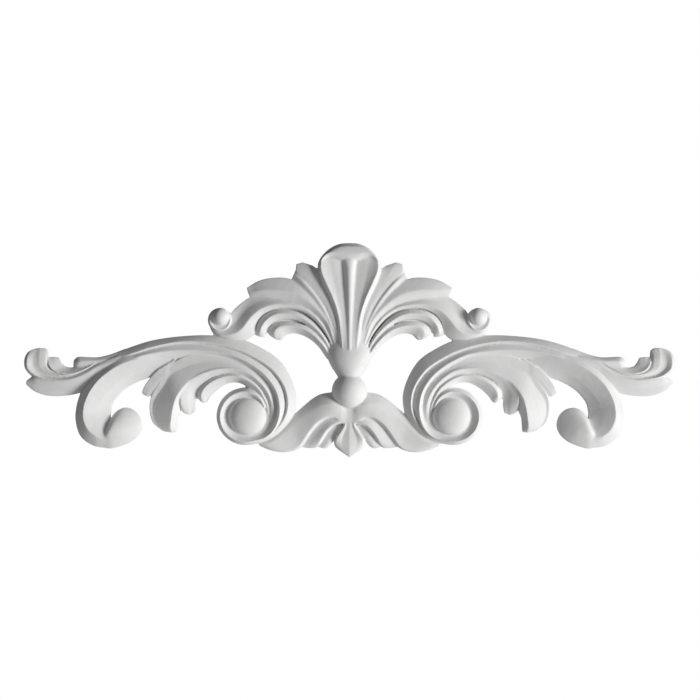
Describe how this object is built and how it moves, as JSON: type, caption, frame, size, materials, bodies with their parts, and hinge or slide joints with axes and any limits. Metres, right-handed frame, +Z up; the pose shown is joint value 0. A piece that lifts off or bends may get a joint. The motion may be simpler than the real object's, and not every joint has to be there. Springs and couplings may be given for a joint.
{
  "type": "carved applique",
  "caption": "Wide moulded applique with mirrored acanthus scrolls, a palmette, a bead and a garland, flat behind for fixing.",
  "frame": {"origin": "on the flat back plane, behind the centre of the bead", "axes": "+X to the right along the ornament's length, +Z up, and the carved face towards -Y, so +Y goes into the wall"},
  "size_m": [0.652, 0.027, 0.2147],
  "materials": {
    "painted_casting": "matt white primer over a dense moulded foam body"
  },
  "bodies": {
    "root": {"applique": "painted_casting"}
  },
  "joints": []
}
